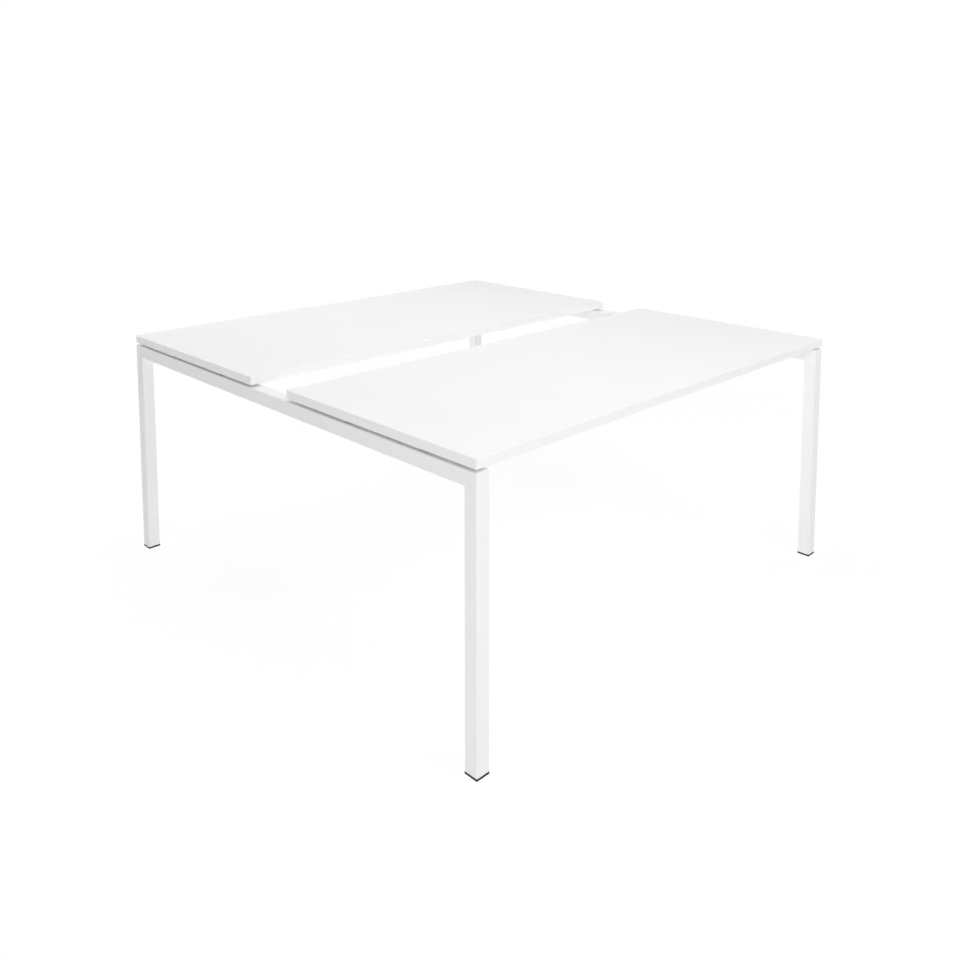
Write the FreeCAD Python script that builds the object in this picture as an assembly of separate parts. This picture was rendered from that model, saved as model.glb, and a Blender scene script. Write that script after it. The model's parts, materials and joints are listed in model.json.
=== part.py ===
import FreeCAD, Part
import math
import os

# Two-sided bench desk: two worktops with an open cable slot between them, carried by two portal end
# frames of square tube that four beams tie together. Every leg stands on a levelling foot.
# Millimetres. The origin is on the floor under the middle of the desk, with +X along the worktops,
# +Y across them and +Z up. The front worktop is on the -Y side and the left frame at the -X end.

Vector = FreeCAD.Vector
X_AXIS = Vector(1, 0, 0)
Y_AXIS = Vector(0, 1, 0)
Z_AXIS = Vector(0, 0, 1)

# Overall size
desk_length = 1600.0
desk_depth = 1650.0
desk_height = 740.0
cable_slot = 180.0
shadow_gap = 7.0

# Worktops: melamine boards with a glued edging strip on every side
board_thickness = 25.0
edging_thickness = 2.0
edging_radius = 2.0
corner_rounding = 0.5

# Square tube of the end frames
tube_size = 40.0
tube_wall = 2.0
tube_radius = 3.0
smallest_inner_radius = 0.5

# Beams between the end frames, in pairs about the middle line of each worktop
beam_width = 30.0
beam_height = 40.0
beam_wall = 2.0
beam_radius = 3.0
beam_spacing = 285.0

# End plates welded to the beams, and the bolts that hold them to the crossbars
plate_thickness = 5.0
plate_margin = 13.0
plate_radius = 4.0
bolt_diameter = 8.0
bolt_head_diameter = 14.0
bolt_head_height = 4.5
bolt_socket = 5.0
bolt_socket_depth = 2.5
bolt_hole_clearance = 0.5
bolt_to_beam = 5.0
washer_diameter = 16.0
washer_thickness = 1.6
bush_diameter = 14.0
bush_length = 12.0
bolt_tip_gap = 2.0

# Spacers that hold the worktops off the tubes, and the screws and inserts that pull them down
spacer_length = 70.0
spacer_recess = 5.0
spacer_radius = 4.0
beam_spacer_offset = 400.0
screw_diameter = 6.0
screw_head_diameter = 12.0
screw_head_height = 4.0
screw_socket = 4.0
screw_socket_depth = 2.2
screw_hole_clearance = 0.3
insert_diameter = 10.0
insert_length = 13.0
insert_hole_spare = 1.0
screw_tip_gap = 1.5

# Threaded fits, the same radial clearance everywhere
thread_clearance = 0.1

# Levelling feet: a square pad, and a stem that turns in the pad's socket and climbs in a nut in the leg
pad_thickness = 5.5
pad_radius = 1.0
pad_chamfer = 0.3
foot_gap = 0.4
stem_diameter = 10.0
stem_length = 53.0
stem_tip_chamfer = 1.0
disc_lip = 3.0
disc_thickness = 3.0
swivel_clearance = 0.3
socket_floor = 2.6
socket_roof = 4.0
socket_wall = 3.5
collar_lip = 2.0
collar_height = 5.0

# Leg plugs: a ribbed body pressed into the tube, with a pocket for the nut on top
plug_height = 34.0
rib_depth = 1.2
rib_thickness = 1.5
rib_count = 5
recess_clearance = 0.5
nut_across_flats = 16.0
nut_height = 8.0

# Levels
worktop_underside = desk_height - board_thickness
bar_top = worktop_underside - shadow_gap
bar_bottom = bar_top - tube_size
beam_bottom = bar_top - beam_height
leg_bottom = pad_thickness + foot_gap

# Places along the length
frame_outer = desk_length / 2
frame_middle = frame_outer - tube_size / 2
frame_inner = frame_outer - tube_size
beam_end = frame_inner - plate_thickness

# Places across the depth
outer_edge = desk_depth / 2
slot_edge = cable_slot / 2
worktop_middle = (outer_edge + slot_edge) / 2
beam_places = {
    "front_outer": -worktop_middle - beam_spacing / 2,
    "front_inner": -worktop_middle + beam_spacing / 2,
    "rear_inner": worktop_middle - beam_spacing / 2,
    "rear_outer": worktop_middle + beam_spacing / 2,
}
ends = {"left": -1, "right": 1}
sides = {"front": -1, "rear": 1}

# Foot levels and diameters, from the pad's socket upwards
disc_bottom = socket_floor + swivel_clearance
disc_top = disc_bottom + disc_thickness
socket_top = disc_top + swivel_clearance
boss_top = socket_top + socket_roof
collar_bottom = boss_top + swivel_clearance
collar_top = collar_bottom + collar_height
plug_top = leg_bottom + plug_height
nut_bottom = plug_top - nut_height
disc_diameter = stem_diameter + 2 * disc_lip
socket_diameter = disc_diameter + 2 * swivel_clearance
boss_diameter = socket_diameter + 2 * socket_wall
collar_across_flats = stem_diameter + 2 * collar_lip
collar_across_corners = collar_across_flats * 2 / math.sqrt(3)


def edges_along(shape, axis):
    """The straight edges of a shape that run along an axis."""
    found = []
    for edge in shape.Edges:
        run = edge.Vertexes[-1].Point - edge.Vertexes[0].Point
        if run.Length > 0 and abs(run.normalize().dot(axis)) > 0.999:
            found.append(edge)
    return found


def edges_at_height(shape, z):
    """The edges of a shape that lie flat at one height."""
    found = []
    for edge in shape.Edges:
        if abs(edge.BoundBox.ZMin - z) < 1e-6 and abs(edge.BoundBox.ZMax - z) < 1e-6:
            found.append(edge)
    return found


def block(low, high):
    """A plain box between two corners."""
    size = high - low
    return Part.makeBox(size.x, size.y, size.z, low)


def bar(low, high, axis, radius):
    """A box whose four edges along an axis are rounded."""
    solid = block(low, high)
    return solid.makeFillet(radius, edges_along(solid, axis))


def tube(low, high, axis, wall, radius):
    """A rectangular tube with rounded corners, open at both ends."""
    inset = (Vector(1, 1, 1) - axis) * wall
    inner_radius = max(radius - wall, smallest_inner_radius)
    return bar(low, high, axis, radius).cut(bar(low + inset, high - inset, axis, inner_radius))


def rod(diameter, start, end):
    """A round bar from one point to another."""
    run = end - start
    return Part.makeCylinder(diameter / 2, run.Length, start, run)


def hexagon(across_flats, start, end):
    """A hexagonal bar from one point to another."""
    run = end - start
    reach = across_flats / math.sqrt(3)
    corners = []
    for step in range(7):
        turn = math.radians(60 * step)
        corners.append(Vector(reach * math.cos(turn), reach * math.sin(turn), 0))
    prism = Part.Face(Part.makePolygon(corners)).extrude(Z_AXIS * run.Length)
    prism.Placement = FreeCAD.Placement(start, FreeCAD.Rotation(Z_AXIS, run))
    return prism


def save(node, *shapes):
    """Writes the solids of one node."""
    solids = []
    for shape in shapes:
        solids.extend(shape.Solids)
    whole = solids[0] if len(solids) == 1 else Part.makeCompound(solids)
    whole.exportStep("parts/" + node + ".step")


def worktop(side):
    """One worktop: the board with its insert holes, and the four strips of edging round it."""
    near, far = sorted((sides[side] * slot_edge, sides[side] * outer_edge))
    low = Vector(-frame_outer, near, worktop_underside)
    high = Vector(frame_outer, far, desk_height)
    rim_radius = min(edging_radius, edging_thickness)
    whole = bar(low, high, Z_AXIS, rim_radius + corner_rounding)
    rims = edges_at_height(whole, worktop_underside) + edges_at_height(whole, desk_height)
    whole = whole.makeFillet(rim_radius, rims)

    inset = Vector(edging_thickness, edging_thickness, 0)
    board = block(low + inset, high - inset)
    hole_depth = Vector(0, 0, insert_length + insert_hole_spare)
    for place in screw_places(side):
        mouth = Vector(place.x, place.y, worktop_underside)
        board = board.cut(rod(insert_diameter, mouth, mouth + hole_depth))
    save(side + "_worktop_board", board)

    # The strips on the long sides run the full length, and the end strips stop between them.
    strip = Vector(0, edging_thickness, 0)
    long_strips = {
        near: block(low, Vector(high.x, low.y, high.z) + strip),
        far: block(Vector(low.x, high.y, low.z) - strip, high),
    }
    save(side + "_worktop_outer_edging", whole.common(long_strips[sides[side] * outer_edge]))
    save(side + "_worktop_slot_edging", whole.common(long_strips[sides[side] * slot_edge]))
    for end, sign in ends.items():
        face = sign * frame_outer
        x_low, x_high = sorted((face, face - sign * edging_thickness))
        room = block(Vector(x_low, low.y, low.z) + strip, Vector(x_high, high.y, high.z) - strip)
        save(side + "_worktop_" + end + "_edging", whole.common(room))


def beam_names(side):
    """The two beams under one worktop."""
    return [name for name in beam_places if name.startswith(side)]


def crossbar_screw_places(side):
    """Where the screws under one worktop go up through the crossbars."""
    places = []
    for sign in ends.values():
        for name in beam_names(side):
            places.append(Vector(sign * frame_middle, beam_places[name], bar_bottom))
    return places


def beam_screw_places(side):
    """Where the screws under one worktop go up through its beams."""
    places = []
    for sign in ends.values():
        for name in beam_names(side):
            places.append(Vector(sign * beam_spacer_offset, beam_places[name], beam_bottom))
    return places


def screw_places(side):
    """Every screw under one worktop, at the underside of the tube that it goes through."""
    return crossbar_screw_places(side) + beam_screw_places(side)


def screw_hole(place):
    """The clearance hole for a screw, through tube and spacer."""
    start = Vector(place.x, place.y, place.z - screw_head_height)
    end = Vector(place.x, place.y, desk_height)
    return rod(screw_diameter + 2 * screw_hole_clearance, start, end)


def mitre(side_sign, spare_corner):
    """A wedge on one side of the 45 degree cut between a leg and its crossbar.

    The spare corner is -1 for the wedge over the leg and 1 for the wedge under the crossbar's end.
    """
    outer = outer_edge + tube_size
    inner = outer_edge - 2 * tube_size
    top = bar_top + tube_size
    bottom = bar_bottom - tube_size
    if spare_corner < 0:
        third = Vector(0, side_sign * inner, top)
    else:
        third = Vector(0, side_sign * outer, bottom)
    high = Vector(0, side_sign * outer, top)
    low = Vector(0, side_sign * inner, bottom)
    face = Part.Face(Part.makePolygon([high, low, third, high]))
    face.translate(X_AXIS * -desk_length)
    return face.extrude(X_AXIS * 2 * desk_length)


def bolt_places(end):
    """Where the beam bolts cross the inner face of one crossbar."""
    reach = beam_width / 2 + bolt_to_beam + bolt_head_diameter / 2
    height = bar_top - min(tube_size, beam_height) / 2
    places = []
    for centre in beam_places.values():
        for step in (-reach, reach):
            places.append(Vector(ends[end] * frame_inner, centre + step, height))
    return places


def end_frame(end):
    """One portal end frame: a crossbar and two legs, mitred where they meet."""
    sign = ends[end]
    x_low, x_high = sorted((sign * frame_outer, sign * frame_inner))
    crossbar = tube(
        Vector(x_low, -outer_edge, bar_bottom),
        Vector(x_high, outer_edge, bar_top),
        Y_AXIS, tube_wall, tube_radius,
    )
    for side, side_sign in sides.items():
        crossbar = crossbar.cut(mitre(side_sign, 1))
        for place in crossbar_screw_places(side):
            if place.x * sign > 0:
                crossbar = crossbar.cut(screw_hole(place))
        y_low, y_high = sorted((side_sign * outer_edge, side_sign * (outer_edge - tube_size)))
        leg = tube(
            Vector(x_low, y_low, leg_bottom),
            Vector(x_high, y_high, bar_top),
            Z_AXIS, tube_wall, tube_radius,
        )
        save(end + "_" + side + "_leg", leg.cut(mitre(side_sign, -1)))
    for place in bolt_places(end):
        crossbar = crossbar.cut(rod(bush_diameter, place, place + X_AXIS * sign * bush_length))
    save(end + "_crossbar", crossbar)


def beam(name):
    """One beam with a plate welded on each end."""
    centre = beam_places[name]
    solid = tube(
        Vector(-beam_end, centre - beam_width / 2, beam_bottom),
        Vector(beam_end, centre + beam_width / 2, bar_top),
        X_AXIS, beam_wall, beam_radius,
    )
    for place in beam_screw_places(name.split("_")[0]):
        if place.y == centre:
            solid = solid.cut(screw_hole(place))
    save(name + "_beam", solid)

    reach = beam_width / 2 + bolt_to_beam + bolt_head_diameter / 2 + plate_margin
    for end, sign in ends.items():
        x_low, x_high = sorted((sign * beam_end, sign * frame_inner))
        plate = bar(
            Vector(x_low, centre - reach, bar_top - beam_height),
            Vector(x_high, centre + reach, bar_top),
            X_AXIS, plate_radius,
        )
        for place in bolt_places(end):
            if abs(place.y - centre) < reach:
                hole = bolt_diameter + 2 * bolt_hole_clearance
                plate = plate.cut(rod(hole, place, place - X_AXIS * sign * plate_thickness))
        save(name + "_beam_" + end + "_plate", plate)


def beam_fixings():
    """Bolts and washers on the end plates, and the threaded bushes welded into the crossbars."""
    bolts = []
    washers = []
    bushes = []
    for end, sign in ends.items():
        outward = X_AXIS * sign
        for place in bolt_places(end):
            plate_face = place - outward * plate_thickness
            washer_face = plate_face - outward * washer_thickness
            head_face = washer_face - outward * bolt_head_height
            tip = place + outward * (bush_length - bolt_tip_gap)
            socket = hexagon(bolt_socket, head_face, head_face + outward * bolt_socket_depth)
            head = rod(bolt_head_diameter, head_face, washer_face)
            bolts.append(head.fuse(rod(bolt_diameter, washer_face, tip)).cut(socket))
            hole = bolt_diameter + 2 * bolt_hole_clearance
            washer = rod(washer_diameter, washer_face, plate_face)
            washers.append(washer.cut(rod(hole, washer_face, plate_face)))
            thread = bolt_diameter + 2 * thread_clearance
            bush_end = place + outward * bush_length
            bushes.append(rod(bush_diameter, place, bush_end).cut(rod(thread, place, bush_end)))
    save("beam_bolts", *bolts)
    save("beam_bolt_washers", *washers)
    save("crossbar_bushes", *bushes)


def spacer(place, length_x, length_y):
    """One spacer between a tube and a worktop, with its screw hole."""
    half = Vector(length_x / 2, length_y / 2, 0)
    base = Vector(place.x, place.y, bar_top)
    solid = bar(base - half, base + half + Z_AXIS * shadow_gap, Z_AXIS, spacer_radius)
    return solid.cut(screw_hole(place))


def worktop_fixings():
    """Spacers on the crossbars and beams, and the screws and inserts that hold the worktops on them."""
    crossbar_spacers = []
    beam_spacers = []
    screws = []
    inserts = []
    for side in sides:
        for place in crossbar_screw_places(side):
            crossbar_spacers.append(spacer(place, tube_size - 2 * spacer_recess, spacer_length))
        for place in beam_screw_places(side):
            beam_spacers.append(spacer(place, spacer_length, beam_width - 2 * spacer_recess))
        for place in screw_places(side):
            under_head = place - Z_AXIS * screw_head_height
            mouth = Vector(place.x, place.y, worktop_underside)
            tip = mouth + Z_AXIS * (insert_length - screw_tip_gap)
            socket = hexagon(screw_socket, under_head, under_head + Z_AXIS * screw_socket_depth)
            head = rod(screw_head_diameter, under_head, place)
            screws.append(head.fuse(rod(screw_diameter, place, tip)).cut(socket))
            thread = screw_diameter + 2 * thread_clearance
            top = mouth + Z_AXIS * insert_length
            inserts.append(rod(insert_diameter, mouth, top).cut(rod(thread, mouth, top)))
    save("crossbar_spacers", *crossbar_spacers)
    save("beam_spacers", *beam_spacers)
    save("worktop_screws", *screws)
    save("worktop_inserts", *inserts)


def leg_middle(end, side):
    """The floor point on the middle line of a leg."""
    return Vector(ends[end] * frame_middle, sides[side] * (outer_edge - tube_size / 2), 0)


def square_on(foot, size, z_low, z_high, radius):
    """An upright square block with rounded corners, centred on a leg."""
    half = Vector(size / 2, size / 2, 0)
    return bar(foot - half + Z_AXIS * z_low, foot + half + Z_AXIS * z_high, Z_AXIS, radius)


def foot_pad(foot):
    """The square pad, flush with the leg, with a socket in its boss that holds the stem's disc."""
    pad = square_on(foot, tube_size, 0, pad_thickness, pad_radius)
    pad = pad.makeChamfer(pad_chamfer, edges_at_height(pad, 0))
    pad = pad.fuse(rod(boss_diameter, foot + Z_AXIS * socket_floor, foot + Z_AXIS * boss_top))
    neck = stem_diameter + 2 * swivel_clearance
    socket = rod(socket_diameter, foot + Z_AXIS * socket_floor, foot + Z_AXIS * socket_top)
    return pad.cut(socket).cut(rod(neck, foot + Z_AXIS * socket_floor, foot + Z_AXIS * boss_top))


def foot_stem(foot):
    """The levelling stem: a disc held in the pad, a hexagon collar for a spanner, and the screw."""
    tip = foot + Z_AXIS * (disc_bottom + stem_length)
    screw = rod(stem_diameter, foot + Z_AXIS * disc_bottom, tip)
    screw = screw.makeChamfer(stem_tip_chamfer, edges_at_height(screw, tip.z))
    disc = rod(disc_diameter, foot + Z_AXIS * disc_bottom, foot + Z_AXIS * disc_top)
    collar = hexagon(collar_across_flats, foot + Z_AXIS * collar_bottom, foot + Z_AXIS * collar_top)
    return screw.fuse(disc).fuse(collar)


def leg_plug(foot):
    """The ribbed plug in a leg, hollowed for the pad's boss, the stem's collar, the screw and the nut."""
    hollow = tube_size - 2 * tube_wall
    inner_radius = max(tube_radius - tube_wall, smallest_inner_radius)
    plug = square_on(foot, hollow - 2 * rib_depth, leg_bottom, plug_top, inner_radius)
    rib_pitch = (plug_height - rib_thickness) / (rib_count - 1)
    for step in range(rib_count):
        z = leg_bottom + step * rib_pitch
        plug = plug.fuse(square_on(foot, hollow, z, z + rib_thickness, inner_radius))
    recesses = {
        boss_diameter + 2 * recess_clearance: boss_top + recess_clearance,
        collar_across_corners + 2 * recess_clearance: collar_top + recess_clearance,
        stem_diameter + 2 * recess_clearance: plug_top,
    }
    for diameter, top in recesses.items():
        plug = plug.cut(rod(diameter, foot + Z_AXIS * leg_bottom, foot + Z_AXIS * top))
    return plug.cut(hexagon(nut_across_flats, foot + Z_AXIS * nut_bottom, foot + Z_AXIS * plug_top))


def stem_nut(foot):
    """The nut that the stem climbs in."""
    low = foot + Z_AXIS * nut_bottom
    high = foot + Z_AXIS * plug_top
    return hexagon(nut_across_flats, low, high).cut(rod(stem_diameter + 2 * thread_clearance, low, high))


def levelling_feet():
    """The four levelling feet and what holds them in the legs."""
    nuts = []
    for end in ends:
        for side in sides:
            foot = leg_middle(end, side)
            corner = end + "_" + side
            save(corner + "_foot_pad", foot_pad(foot))
            save(corner + "_foot_stem", foot_stem(foot))
            save(corner + "_leg_plug", leg_plug(foot))
            nuts.append(stem_nut(foot))
    save("stem_nuts", *nuts)


os.makedirs("parts", exist_ok=True)
for side_name in sides:
    worktop(side_name)
for end_name in ends:
    end_frame(end_name)
for beam_name in beam_places:
    beam(beam_name)
beam_fixings()
worktop_fixings()
levelling_feet()
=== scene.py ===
import json
import math

import bpy
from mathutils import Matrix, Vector


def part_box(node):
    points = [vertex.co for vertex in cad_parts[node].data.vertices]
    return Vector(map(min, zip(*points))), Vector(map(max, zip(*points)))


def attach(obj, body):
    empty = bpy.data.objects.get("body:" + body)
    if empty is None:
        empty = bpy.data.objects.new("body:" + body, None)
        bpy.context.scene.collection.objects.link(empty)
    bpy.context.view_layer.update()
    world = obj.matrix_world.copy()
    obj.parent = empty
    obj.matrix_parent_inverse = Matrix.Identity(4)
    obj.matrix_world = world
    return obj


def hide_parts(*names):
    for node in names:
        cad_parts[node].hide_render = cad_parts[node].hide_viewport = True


# A white two-sided bench desk, dressed and lit for a bright studio picture.
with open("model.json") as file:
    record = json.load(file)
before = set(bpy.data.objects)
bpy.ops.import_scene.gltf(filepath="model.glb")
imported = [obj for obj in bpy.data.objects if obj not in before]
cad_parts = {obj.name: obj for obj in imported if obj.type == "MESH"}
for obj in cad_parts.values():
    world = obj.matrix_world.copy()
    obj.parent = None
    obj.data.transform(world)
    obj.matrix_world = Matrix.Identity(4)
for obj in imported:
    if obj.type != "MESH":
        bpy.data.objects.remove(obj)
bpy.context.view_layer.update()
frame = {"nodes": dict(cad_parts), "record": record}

MM = 0.001
ENDS = ("left", "right")
SIDES = ("front", "rear")
BEAMS = ("front_outer", "front_inner", "rear_inner", "rear_outer")
UPRIGHT = (0, 0, 0)

# Camera: its place in metres, where it looks in degrees, its lens in millimetres, and how far that lens is
# dropped to keep the legs upright, as a share of the picture's width
EYE = Vector((-2.161, -2.223, 1.456))
HEADING = 45.56
LOOKING_DOWN = 5.97
FOCAL_LENGTH = 35.37
SENSOR_WIDTH = 36.0
LENS_DROP = 0.27

# Button-head beam bolts and worktop screws, in millimetres
BOLT = {
    "thread": 8.0, "pitch": 1.25, "length": 16.6,
    "head": 14.0, "height": 4.5, "socket": 5.0, "depth": 2.5,
}
SCREW = {
    "thread": 6.0, "pitch": 1.0, "length": 58.5,
    "head": 12.0, "height": 4.0, "socket": 4.0, "depth": 2.2,
}
WASHER = 1.6
BOLT_FROM_PLATE_END = 13.0
SCREW_ON_BEAM = 400.0
THREAD_PLAY = 0.1
SHANK_IN_HEAD = 0.5
SEAT_CHAMFER_WIDTH = 0.3
SEAT_CHAMFER_HEIGHT = 0.2
HEAD_RIM_SHARE = 0.35
DOME_STEPS = 5
DOME_FULLNESS = 0.9

# Levelling stems, in millimetres above the bottom of the stem's disc
STEM_THREAD = 10.0
STEM_PITCH = 1.5
NECK_RELIEF = 0.1
DISC_DIAMETER = 16.0
DISC_HEIGHT = 3.0
DISC_CHAMFER = 0.4
COLLAR_BOTTOM = 7.6
COLLAR_TOP = 12.6
COLLAR_FLATS = 14.0
COLLAR_CHAMFER = 0.5
TIP_CHAMFER = 1.0
TIP_SPARE = 0.01

# Weld beads, in millimetres, with the share of their full radius at the ends and between the ripples
PLATE_BEAD = 2.4
PLATE_BEAD_INSET = 3.0
CORNER_BEAD = 1.8
CORNER_BEAD_INSET = 4.0
BEAD_RIPPLE = 2.2
BEAD_SIDES = 10
BEAD_END_SHARE = 0.5
BEAD_VALLEY_SHARE = 0.88

# Workshop: how finely shapes are turned and cut, and how far two shapes reach into each other, in millimetres
LATHE_STEPS = 36
CHAMFER_STEPS = 2
THREAD_STEPS = 20
THREAD_DEPTH_SHARE = 0.6
SPARE_TURNS = 2
OVERLAP = 1.0
MERGE_DISTANCE = 0.001
SMOOTHING_ANGLE = 35.0

# Studio: the floor's size in metres, the light it returns, the share of it that is seen, its own glow there
# and where it fades out, and the light of the surround
FLOOR_SIZE = 40.0
FLOOR_RETURN = 0.37
FLOOR_SEEN = 0.1
FLOOR_GLOW = 0.15
FLOOR_FADE_START = 1.6
FLOOR_FADE_END = 3.2
SURROUND_LIGHT = 0.2
SEEN_RAYS = ("Is Camera Ray", "Is Glossy Ray", "Is Transmission Ray")

# Softboxes: where each stands, the point it is aimed at and the length of its sides in metres, and its watts
SOFTBOXES = {
    "front_softbox": {"place": (-0.9, -2.4, 2.4), "target": (-0.6, -0.8, 0.6), "side": 1.2, "watts": 12.5},
    "high_softbox": {"place": (0.1, -2.6, 3.2), "target": (0.3, -0.6, 0.6), "side": 1.6, "watts": 35},
    "left_softbox": {"place": (-2.4, -1.5, 1.2), "target": (-0.8, -0.7, 0.6), "side": 1.2, "watts": 10},
    "right_softbox": {"place": (3.9, -1.0, 1.2), "target": (0, 0, 0.5), "side": 2.2, "watts": 36},
    "rear_softbox": {"place": (-1.0, 3.9, 1.6), "target": (0, 0, 0.5), "side": 2.2, "watts": 44},
    "overhead_softbox": {"place": (0, 0.8, 3.6), "target": (0, 0.8, 0), "side": 2.4, "watts": 51},
}


# Modelling by hand

def draw_profile(points):
    """An open outline drawn point by point beside the Z axis, as (radius, height) in millimetres."""
    bpy.ops.object.select_all(action="DESELECT")
    bpy.ops.mesh.primitive_plane_add(size=MM)
    piece = bpy.context.object
    bpy.ops.object.mode_set(mode="EDIT")
    bpy.ops.mesh.merge(type="CENTER")
    radius, height = points[0]
    bpy.ops.transform.translate(value=(radius * MM, 0, height * MM))
    for next_radius, next_height in points[1:]:
        step = ((next_radius - radius) * MM, 0, (next_height - height) * MM)
        bpy.ops.mesh.extrude_vertices_move(TRANSFORM_OT_translate={"value": step})
        radius, height = next_radius, next_height
    bpy.ops.object.mode_set(mode="OBJECT")
    return piece


def close_up():
    """Merges doubled points and turns every face outwards, in edit mode."""
    bpy.ops.mesh.select_all(action="SELECT")
    bpy.ops.mesh.remove_doubles(threshold=MERGE_DISTANCE * MM)
    bpy.ops.mesh.normals_make_consistent(inside=False)


def turned(points):
    """A solid turned on a lathe about the Z axis from an outline that starts and ends on the axis."""
    piece = draw_profile(points)
    bpy.ops.object.mode_set(mode="EDIT")
    bpy.ops.mesh.select_all(action="SELECT")
    bpy.ops.mesh.spin(steps=LATHE_STEPS, angle=math.tau, center=(0, 0, 0), axis=(0, 0, 1))
    close_up()
    bpy.ops.object.mode_set(mode="OBJECT")
    return piece


def hexagon_bar(across_flats, bottom, top, chamfer=0.0):
    """A hexagonal bar along the Z axis, with chamfered edges where a chamfer is given."""
    bpy.ops.object.select_all(action="DESELECT")
    bpy.ops.mesh.primitive_cylinder_add(
        vertices=6, radius=across_flats / math.sqrt(3) * MM, depth=(top - bottom) * MM,
        location=(0, 0, (bottom + top) / 2 * MM))
    piece = bpy.context.object
    bpy.ops.object.transform_apply(location=True, rotation=True, scale=True)
    if chamfer:
        bpy.ops.object.mode_set(mode="EDIT")
        bpy.ops.mesh.select_all(action="SELECT")
        bpy.ops.mesh.bevel(offset=chamfer * MM, segments=CHAMFER_STEPS, affect="EDGES")
        close_up()
        bpy.ops.object.mode_set(mode="OBJECT")
    return piece


def threaded_rod(diameter, pitch, bottom, top):
    """A screw thread along the Z axis: one V tooth wound upwards, sawn flat at both ends and closed."""
    crest = diameter / 2
    root = crest - THREAD_DEPTH_SHARE * pitch
    start = bottom - SPARE_TURNS * pitch
    piece = draw_profile([(root, start), (crest, start + pitch / 2), (root, start + pitch)])
    winding = piece.modifiers.new("winding", "SCREW")
    winding.axis = "Z"
    winding.angle = math.tau
    winding.screw_offset = pitch * MM
    winding.iterations = math.ceil((top - start) / pitch) + SPARE_TURNS
    winding.steps = THREAD_STEPS
    winding.render_steps = THREAD_STEPS
    bpy.ops.object.modifier_apply(modifier=winding.name)
    bpy.ops.object.mode_set(mode="EDIT")
    close_up()
    bpy.ops.mesh.bisect(plane_co=(0, 0, bottom * MM), plane_no=(0, 0, 1), use_fill=True, clear_inner=True)
    bpy.ops.mesh.select_all(action="SELECT")
    bpy.ops.mesh.bisect(plane_co=(0, 0, top * MM), plane_no=(0, 0, 1), use_fill=True, clear_outer=True)
    close_up()
    bpy.ops.object.mode_set(mode="OBJECT")
    return piece


def combine(piece, tool, operation):
    """Adds a tool shape to a piece, cuts it away or keeps what both share, and removes the tool shape."""
    bpy.ops.object.select_all(action="DESELECT")
    piece.select_set(True)
    bpy.context.view_layer.objects.active = piece
    joint = piece.modifiers.new("joint", "BOOLEAN")
    joint.operation = operation
    joint.object = tool
    joint.solver = "EXACT"
    bpy.ops.object.modifier_apply(modifier=joint.name)
    bpy.data.objects.remove(tool)


def weld_bead(radius, length):
    """A rippled weld bead along the Z axis, centred on the origin, with a narrower flat at each end."""
    rings = 2 * round(length / BEAD_RIPPLE)
    step = length / rings
    bpy.ops.object.select_all(action="DESELECT")
    bpy.ops.mesh.primitive_circle_add(
        vertices=BEAD_SIDES, radius=radius * BEAD_END_SHARE * MM, fill_type="NGON",
        location=(0, 0, -length / 2 * MM))
    piece = bpy.context.object
    bpy.ops.object.transform_apply(location=True, rotation=True, scale=True)
    bpy.ops.object.mode_set(mode="EDIT")
    bpy.ops.mesh.select_all(action="SELECT")
    share = BEAD_END_SHARE
    for ring in range(1, rings + 1):
        if ring == rings:
            next_share = BEAD_END_SHARE
        else:
            next_share = 1.0 if ring % 2 else BEAD_VALLEY_SHARE
        bpy.ops.mesh.extrude_region_move(TRANSFORM_OT_translate={"value": (0, 0, step * MM)})
        bpy.ops.transform.resize(value=(next_share / share, next_share / share, 1))
        share = next_share
    close_up()
    bpy.ops.object.mode_set(mode="OBJECT")
    return piece


def placed_copies(pattern, placings):
    """Copies of one shape, each turned about the origin and moved to its place, joined into one piece."""
    copies = []
    for turn, place in placings:
        copy = pattern.copy()
        copy.data = pattern.data.copy()
        bpy.context.collection.objects.link(copy)
        copy.rotation_euler = turn
        copy.location = place
        copies.append(copy)
    bpy.data.objects.remove(pattern)
    bpy.ops.object.select_all(action="DESELECT")
    for copy in copies:
        copy.select_set(True)
    bpy.context.view_layer.objects.active = copies[0]
    bpy.ops.object.transform_apply(location=True, rotation=True, scale=True)
    if len(copies) > 1:
        bpy.ops.object.join()
    bpy.ops.object.shade_smooth_by_angle(angle=math.radians(SMOOTHING_ANGLE))
    return bpy.context.object


# Finishes

def linear(hex_colour):
    """The linear colour of an sRGB hex value."""
    channels = []
    for start in (0, 2, 4):
        value = int(hex_colour[start:start + 2], 16) / 255
        channels.append(value / 12.92 if value <= 0.04045 else ((value + 0.055) / 1.055) ** 2.4)
    return (*channels, 1.0)


def add(tree, kind, settings=None, sockets=None, links=None):
    """One shader node with its settings, its socket values and its links from other nodes' outputs."""
    made = tree.nodes.new("ShaderNode" + kind)
    for name, value in (settings or {}).items():
        setattr(made, name, value)
    for name, value in (sockets or {}).items():
        made.inputs[name].default_value = value
    for socket, source in (links or {}).items():
        tree.links.new(source, made.inputs[socket])
    return made


def new_finish(name):
    """An empty material and its node tree."""
    finish = bpy.data.materials.new(name)
    finish.use_nodes = True
    finish.node_tree.nodes.clear()
    return finish, finish.node_tree


def per_metre(size_mm):
    """The texture scale at which one feature of a pattern is this many millimetres wide."""
    return 1.0 / (size_mm * MM)


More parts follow.
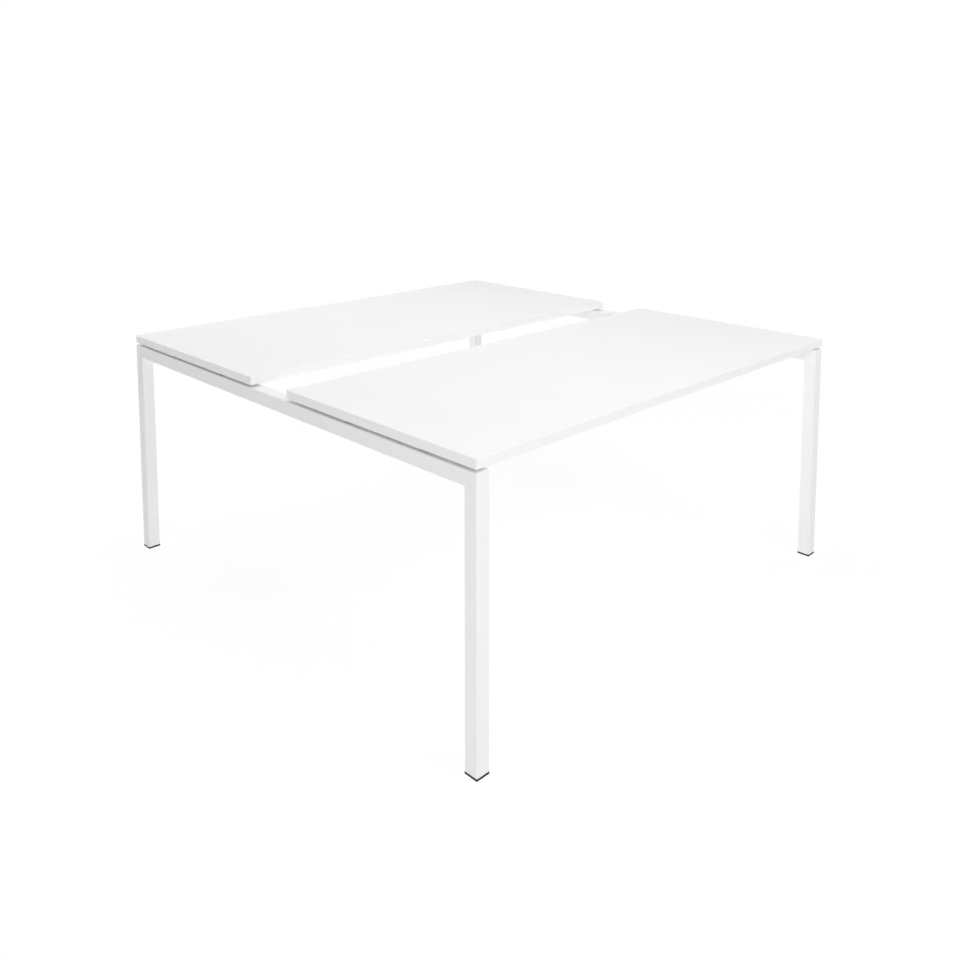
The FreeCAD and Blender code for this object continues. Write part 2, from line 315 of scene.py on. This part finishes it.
def pressed_melamine():
    """Melamine-faced board, pressed on a fine pearl plate.

    The eye sees a matt bright white with a soft sheen at a low angle, and no grain from a step away.
    The pearl is about 1.5 mm wide and is drawn at 4 mm so that it shows at all.
    """
    finish, tree = new_finish("melamine_board_pearl_pressed")
    place = add(tree, "TexCoord").outputs["Object"]
    pearl = add(tree, "TexNoise", {}, {"Scale": per_metre(4.0), "Detail": 3.0, "Roughness": 0.55},
                {"Vector": place})
    cloud = add(tree, "TexNoise", {}, {"Scale": per_metre(160.0), "Detail": 2.0}, {"Vector": place})
    white = add(tree, "ValToRGB", {}, {}, {"Fac": cloud.outputs["Fac"]})
    white.color_ramp.elements[0].color = linear("f2f2f2")
    white.color_ramp.elements[1].color = linear("f5f5f5")
    sheen = add(tree, "MapRange", {}, {"To Min": 0.62, "To Max": 0.74}, {"Value": pearl.outputs["Fac"]})
    relief = add(tree, "Bump", {}, {"Strength": 0.12, "Distance": 0.05 * MM},
                 {"Height": pearl.outputs["Fac"]})
    shader = add(tree, "BsdfPrincipled", {}, {"IOR": 1.5, "Specular IOR Level": 0.2}, {
        "Base Color": white.outputs["Color"], "Roughness": sheen.outputs["Result"],
        "Normal": relief.outputs["Normal"]})
    add(tree, "OutputMaterial", {}, {}, {"Surface": shader.outputs["BSDF"]})
    return finish


def extruded_edging():
    """ABS edging, extruded in a long strip and scraped to its radius after gluing.

    The eye sees a satin white a touch softer than the board, with faint lines along the strip.
    The lines are a third of a millimetre apart and are drawn at 1.5 mm, fifty times as long as wide.
    """
    finish, tree = new_finish("abs_edging_extruded")
    place = add(tree, "TexCoord").outputs["Object"]
    drawn = add(tree, "Mapping", {}, {"Scale": (0.02, 0.02, 1.0)}, {"Vector": place})
    lines = add(tree, "TexNoise", {}, {"Scale": per_metre(1.5), "Detail": 2.0},
                {"Vector": drawn.outputs["Vector"]})
    white = add(tree, "ValToRGB", {}, {}, {"Fac": lines.outputs["Fac"]})
    white.color_ramp.elements[0].color = linear("f1f1f1")
    white.color_ramp.elements[1].color = linear("f4f4f4")
    satin = add(tree, "MapRange", {}, {"To Min": 0.38, "To Max": 0.48}, {"Value": lines.outputs["Fac"]})
    relief = add(tree, "Bump", {}, {"Strength": 0.1, "Distance": 0.03 * MM},
                 {"Height": lines.outputs["Fac"]})
    shader = add(tree, "BsdfPrincipled", {}, {"IOR": 1.53}, {
        "Base Color": white.outputs["Color"], "Roughness": satin.outputs["Result"],
        "Normal": relief.outputs["Normal"]})
    add(tree, "OutputMaterial", {}, {}, {"Surface": shader.outputs["BSDF"]})
    return finish


def powder_coat():
    """Polyester powder coat, sprayed on steel tube and baked.

    The eye sees a smooth satin white whose highlights break up in a shallow orange peel.
    The peel is about 2.5 mm wide, and the coat's thickness shifts its tone over some 90 mm.
    """
    finish, tree = new_finish("powder_coat_white_baked")
    place = add(tree, "TexCoord").outputs["Object"]
    peel = add(tree, "TexNoise", {}, {"Scale": per_metre(2.5), "Detail": 1.5, "Roughness": 0.4},
               {"Vector": place})
    thickness = add(tree, "TexNoise", {}, {"Scale": per_metre(90.0), "Detail": 2.0}, {"Vector": place})
    white = add(tree, "ValToRGB", {}, {}, {"Fac": thickness.outputs["Fac"]})
    white.color_ramp.elements[0].color = linear("f1f1f1")
    white.color_ramp.elements[1].color = linear("f4f4f4")
    satin = add(tree, "MapRange", {}, {"To Min": 0.34, "To Max": 0.46}, {"Value": peel.outputs["Fac"]})
    relief = add(tree, "Bump", {}, {"Strength": 0.18, "Distance": 0.06 * MM},
                 {"Height": peel.outputs["Fac"]})
    shader = add(tree, "BsdfPrincipled", {}, {"IOR": 1.5}, {
        "Base Color": white.outputs["Color"], "Roughness": satin.outputs["Result"],
        "Normal": relief.outputs["Normal"]})
    add(tree, "OutputMaterial", {}, {}, {"Surface": shader.outputs["BSDF"]})
    return finish


def zinc_plate(name):
    """Steel screws, cold formed and zinc plated.

    The eye sees a bright metal with a cool tint that wanders a little, and a fine even grain.
    The grain is a tenth of a millimetre wide and is drawn at 0.8 mm.
    """
    finish, tree = new_finish(name)
    place = add(tree, "TexCoord").outputs["Object"]
    grain = add(tree, "TexNoise", {}, {"Scale": per_metre(0.8), "Detail": 4.0}, {"Vector": place})
    tint = add(tree, "TexNoise", {}, {"Scale": per_metre(9.0), "Detail": 1.0}, {"Vector": place})
    metal = add(tree, "ValToRGB", {}, {}, {"Fac": tint.outputs["Fac"]})
    metal.color_ramp.elements[0].color = linear("b9bfc6")
    metal.color_ramp.elements[1].color = linear("d2d2cd")
    polish = add(tree, "MapRange", {}, {"To Min": 0.24, "To Max": 0.42}, {"Value": grain.outputs["Fac"]})
    relief = add(tree, "Bump", {}, {"Strength": 0.1, "Distance": 0.02 * MM},
                 {"Height": grain.outputs["Fac"]})
    shader = add(tree, "BsdfPrincipled", {}, {"Metallic": 1.0}, {
        "Base Color": metal.outputs["Color"], "Roughness": polish.outputs["Result"],
        "Normal": relief.outputs["Normal"]})
    add(tree, "OutputMaterial", {}, {}, {"Surface": shader.outputs["BSDF"]})
    return finish


def turned_steel():
    """Plain steel bushes, inserts and nuts, turned from bar and left bare.

    The eye sees a darker warm grey broken up by fine marks from the tool.
    The marks are 0.15 mm apart and are drawn at 0.6 mm.
    """
    finish, tree = new_finish("free_cutting_steel_turned")
    place = add(tree, "TexCoord").outputs["Object"]
    marks = add(tree, "TexNoise", {}, {"Scale": per_metre(0.6), "Detail": 2.0}, {"Vector": place})
    metal = add(tree, "ValToRGB", {}, {}, {"Fac": marks.outputs["Fac"]})
    metal.color_ramp.elements[0].color = linear("8d8b87")
    metal.color_ramp.elements[1].color = linear("a5a39e")
    polish = add(tree, "MapRange", {}, {"To Min": 0.32, "To Max": 0.5}, {"Value": marks.outputs["Fac"]})
    shader = add(tree, "BsdfPrincipled", {}, {"Metallic": 1.0}, {
        "Base Color": metal.outputs["Color"], "Roughness": polish.outputs["Result"]})
    add(tree, "OutputMaterial", {}, {}, {"Surface": shader.outputs["BSDF"]})
    return finish


def moulded_plastic(name, dark, light, roughness, gloss, grit_mm):
    """Injection-moulded polypropylene from a spark-eroded mould.

    The eye sees an even tone broken by a fine matt grit, a little shinier where the mould was polished.
    The grit is a fifth of a millimetre wide and is drawn at about 1 mm.
    """
    finish, tree = new_finish(name)
    place = add(tree, "TexCoord").outputs["Object"]
    grit = add(tree, "TexNoise", {}, {"Scale": per_metre(grit_mm), "Detail": 3.0, "Roughness": 0.6},
               {"Vector": place})
    tone = add(tree, "ValToRGB", {}, {}, {"Fac": grit.outputs["Fac"]})
    tone.color_ramp.elements[0].color = linear(dark)
    tone.color_ramp.elements[1].color = linear(light)
    matt = add(tree, "MapRange", {}, {"To Min": roughness[0], "To Max": roughness[1]},
               {"Value": grit.outputs["Fac"]})
    relief = add(tree, "Bump", {}, {"Strength": 0.25, "Distance": 0.05 * MM},
                 {"Height": grit.outputs["Fac"]})
    shader = add(tree, "BsdfPrincipled", {}, {"IOR": 1.49, "Specular IOR Level": gloss}, {
        "Base Color": tone.outputs["Color"], "Roughness": matt.outputs["Result"],
        "Normal": relief.outputs["Normal"]})
    add(tree, "OutputMaterial", {}, {}, {"Surface": shader.outputs["BSDF"]})
    return finish


finishes = {
    "worktop_melamine": pressed_melamine(),
    "worktop_edging": extruded_edging(),
    "frame_coating": powder_coat(),
    "zinc_fasteners": zinc_plate("zinc_plated_screws"),
    "stem_steel": zinc_plate("zinc_plated_stem"),
    "inner_steel": turned_steel(),
    "spacer_plastic": moulded_plastic(
        "polypropylene_spacer_grey", dark="b0b1b2", light="bebfc0",
        roughness=(0.5, 0.65), gloss=0.4, grit_mm=1.2),
    "plug_plastic": moulded_plastic(
        "polypropylene_plug_black", dark="141415", light="1e1e1f",
        roughness=(0.5, 0.65), gloss=0.4, grit_mm=1.0),
    "foot_plastic": moulded_plastic(
        "polypropylene_foot_black", dark="0b0b0b", light="141414",
        roughness=(0.6, 0.75), gloss=0.2, grit_mm=1.0),
}
for part in frame["record"]["subparts"]:
    for skin in frame["nodes"][part["node"]].material_slots:
        skin.material = finishes[part["material_slot"]]


def finish_piece(piece, name, body, slot):
    """Names a new piece, gives it the finish of its slot and sets it riding on its body."""
    piece.name = name
    piece.data.materials.clear()
    piece.data.materials.append(finishes[slot])
    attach(piece, body)


# Button-head bolts and screws

def button_head_screw(size):
    """A threaded button-head screw with a hexagon socket, along the Z axis, its head's seat at the origin."""
    half = size["head"] / 2
    rim = HEAD_RIM_SHARE * size["height"]
    dome = [(0, -size["height"])]
    for step in range(1, DOME_STEPS + 1):
        angle = step / DOME_STEPS * math.pi / 2
        dome.append((half * math.sin(angle) ** DOME_FULLNESS,
                     -rim - (size["height"] - rim) * math.cos(angle)))
    head = turned([*dome, (half, -SEAT_CHAMFER_HEIGHT), (half - SEAT_CHAMFER_WIDTH, 0), (0, 0)])
    shank = threaded_rod(size["thread"] - THREAD_PLAY, size["pitch"], -SHANK_IN_HEAD, size["length"])
    combine(head, shank, "UNION")
    socket = hexagon_bar(size["socket"], -size["height"] - OVERLAP, -size["height"] + size["depth"])
    combine(head, socket, "DIFFERENCE")
    return head


def beam_bolts():
    """The bolts through the end plates of the beams."""
    placings = []
    for beam in BEAMS:
        for end in ENDS:
            low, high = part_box(beam + "_beam_" + end + "_plate")
            outward = -1 if end == "left" else 1
            inner_face = high.x if end == "left" else low.x
            seat = inner_face - outward * WASHER * MM
            for y in (low.y + BOLT_FROM_PLATE_END * MM, high.y - BOLT_FROM_PLATE_END * MM):
                placings.append(((0, outward * math.pi / 2, 0), (seat, y, (low.z + high.z) / 2)))
    piece = placed_copies(button_head_screw(BOLT), placings)
    finish_piece(piece, "beam_bolts_button_head", "desk", "zinc_fasteners")
    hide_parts("beam_bolts")


def worktop_screws():
    """The screws up through crossbars and beams into the worktops."""
    placings = []
    for beam in BEAMS:
        low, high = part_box(beam + "_beam")
        y = (low.y + high.y) / 2
        for end in ENDS:
            bar_low, bar_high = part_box(end + "_crossbar")
            placings.append((UPRIGHT, ((bar_low.x + bar_high.x) / 2, y, bar_low.z)))
        for side in (-1, 1):
            placings.append((UPRIGHT, (side * SCREW_ON_BEAM * MM, y, low.z)))
    piece = placed_copies(button_head_screw(SCREW), placings)
    finish_piece(piece, "worktop_screws_button_head", "desk", "zinc_fasteners")
    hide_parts("worktop_screws")


# Levelling stems

def levelling_stem(corner):
    """A foot's stem: the disc held in the pad, a plain neck, the hexagon collar and the threaded screw."""
    low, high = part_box(corner + "_foot_stem")
    length = (high.z - low.z) / MM
    neck = STEM_THREAD / 2 - NECK_RELIEF
    disc = DISC_DIAMETER / 2
    stem = turned([
        (0, 0), (disc - DISC_CHAMFER, 0), (disc, DISC_CHAMFER), (disc, DISC_HEIGHT - DISC_CHAMFER),
        (disc - DISC_CHAMFER, DISC_HEIGHT), (neck, DISC_HEIGHT),
        (neck, COLLAR_BOTTOM + OVERLAP), (0, COLLAR_BOTTOM + OVERLAP)])
    combine(stem, hexagon_bar(COLLAR_FLATS, COLLAR_BOTTOM, COLLAR_TOP, COLLAR_CHAMFER), "UNION")
    screw = threaded_rod(STEM_THREAD, STEM_PITCH, COLLAR_TOP - OVERLAP, length)
    reach = STEM_THREAD
    blank = turned([
        (0, 0), (reach, 0), (reach, length - TIP_CHAMFER - reach + STEM_THREAD / 2),
        (STEM_THREAD / 2 - TIP_CHAMFER, length + TIP_SPARE), (0, length + TIP_SPARE)])
    combine(screw, blank, "INTERSECT")
    combine(stem, screw, "UNION")
    middle = (low + high) / 2
    piece = placed_copies(stem, [(UPRIGHT, (middle.x, middle.y, low.z))])
    finish_piece(piece, corner + "_foot_stem_threaded", corner + "_stem", "stem_steel")
    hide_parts(corner + "_foot_stem")


# Welds on the frame

def plate_welds():
    """The bead down each side of a beam where it meets its end plate."""
    placings = []
    for beam in BEAMS:
        low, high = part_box(beam + "_beam")
        middle = (low.z + high.z) / 2
        for x in (low.x, high.x):
            for y in (low.y, high.y):
                placings.append((UPRIGHT, (x, y, middle)))
    length = (high.z - low.z) / MM - 2 * PLATE_BEAD_INSET
    piece = placed_copies(weld_bead(PLATE_BEAD, length), placings)
    finish_piece(piece, "beam_plate_welds", "desk", "frame_coating")


def corner_welds():
    """The bead across the inside corner of each mitre, where leg and crossbar meet."""
    placings = []
    for end in ENDS:
        bar_low, bar_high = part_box(end + "_crossbar")
        for side in SIDES:
            low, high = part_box(end + "_" + side + "_leg")
            y = high.y if side == "front" else low.y
            placings.append(((0, math.pi / 2, 0), ((low.x + high.x) / 2, y, bar_low.z)))
    length = (high.x - low.x) / MM - 2 * CORNER_BEAD_INSET
    piece = placed_copies(weld_bead(CORNER_BEAD, length), placings)
    finish_piece(piece, "mitre_corner_welds", "desk", "frame_coating")


beam_bolts()
worktop_screws()
for end_name in ENDS:
    for side_name in SIDES:
        levelling_stem(end_name + "_" + side_name)
plate_welds()
corner_welds()


# Studio

def ray_is_one_of(tree, kinds):
    """A value that is 1 for rays of these kinds and 0 for all others."""
    path = add(tree, "LightPath")
    value = path.outputs[kinds[0]]
    for kind in kinds[1:]:
        either = add(tree, "Math", {"operation": "MAXIMUM"}, {}, {0: value, 1: path.outputs[kind]})
        value = either.outputs["Value"]
    return value


def studio_floor():
    """A pale floor that returns light to the desk like brightly lit white paper.

    To the camera it is a thin white film over the white background, so it shows the desk's soft shadow and
    still lets a foot be seen that is screwed out below it. The film fades out away from the desk.
    """
    bpy.ops.object.select_all(action="DESELECT")
    bpy.ops.mesh.primitive_plane_add(size=FLOOR_SIZE)
    floor = bpy.context.object
    floor.name = "studio_floor"
    finish, tree = new_finish("floor_paper_white")
    seen = ray_is_one_of(tree, (*SEEN_RAYS, "Is Shadow Ray"))
    place = add(tree, "TexCoord").outputs["Object"]
    reach = add(tree, "VectorMath", {"operation": "LENGTH"}, {}, {0: place})
    fade = add(tree, "MapRange", {"interpolation_type": "SMOOTHSTEP"}, {
        "From Min": FLOOR_FADE_START, "From Max": FLOOR_FADE_END, "To Min": FLOOR_SEEN, "To Max": 0.0},
        {"Value": reach.outputs["Value"]})
    paper = add(tree, "BsdfDiffuse", {}, {"Color": linear("f2f2f2")})
    returned = add(tree, "Emission", {}, {"Color": linear("ffffff"), "Strength": FLOOR_RETURN})
    lit_paper = add(tree, "AddShader", {}, {}, {0: paper.outputs["BSDF"], 1: returned.outputs["Emission"]})
    matt = add(tree, "BsdfDiffuse", {}, {"Color": linear("ffffff")})
    glow = add(tree, "Emission", {}, {"Color": linear("ffffff"), "Strength": FLOOR_GLOW})
    film = add(tree, "AddShader", {}, {}, {0: matt.outputs["BSDF"], 1: glow.outputs["Emission"]})
    clear = add(tree, "BsdfTransparent")
    veil = add(tree, "MixShader", {}, {}, {
        "Fac": fade.outputs["Result"], 1: clear.outputs["BSDF"], 2: film.outputs["Shader"]})
    both = add(tree, "MixShader", {}, {}, {
        "Fac": seen, 1: lit_paper.outputs["Shader"], 2: veil.outputs["Shader"]})
    add(tree, "OutputMaterial", {}, {}, {"Surface": both.outputs["Shader"]})
    floor.data.materials.append(finish)


def white_surround():
    """A white background where it is seen, and an even soft light where it lights the desk."""
    world = bpy.data.worlds.new("studio_surround")
    world.use_nodes = True
    tree = world.node_tree
    tree.nodes.clear()
    seen = ray_is_one_of(tree, SEEN_RAYS)
    lighting = add(tree, "Background", {}, {"Color": linear("ffffff"), "Strength": SURROUND_LIGHT})
    backdrop = add(tree, "Background", {}, {"Color": linear("ffffff"), "Strength": 1.0})
    both = add(tree, "MixShader", {}, {}, {
        "Fac": seen, 1: lighting.outputs["Background"], 2: backdrop.outputs["Background"]})
    add(tree, "OutputWorld", {}, {}, {"Surface": both.outputs["Shader"]})
    bpy.context.scene.world = world


def stand(name, device, place, aim):
    """Stands a lamp or a camera at its place, turned along a direction."""
    holder = bpy.data.objects.new(name, device)
    holder.location = place
    holder.rotation_mode = "QUATERNION"
    holder.rotation_quaternion = aim.to_track_quat("-Z", "Y")
    bpy.context.scene.collection.objects.link(holder)
    return holder


def softbox(name, place, target, side, watts):
    """A square softbox aimed at a point."""
    lamp = bpy.data.lights.new(name, "AREA")
    lamp.shape = "SQUARE"
    lamp.size = side
    lamp.energy = watts
    stand(name, lamp, place, Vector(target) - Vector(place))


def desk_camera():
    """The camera at the picture's own viewing angle."""
    heading = math.radians(HEADING)
    down = math.radians(LOOKING_DOWN)
    aim = Vector((math.cos(heading) * math.cos(down), math.sin(heading) * math.cos(down), -math.sin(down)))
    lens = bpy.data.cameras.new("desk_camera")
    lens.sensor_width = SENSOR_WIDTH
    lens.lens = FOCAL_LENGTH
    lens.shift_y = -LENS_DROP
    bpy.context.scene.camera = stand("desk_camera", lens, EYE, aim)


studio_floor()
white_surround()
for box_name, box_settings in SOFTBOXES.items():
    softbox(box_name, **box_settings)
desk_camera()
bpy.context.scene.view_settings.view_transform = "Standard"
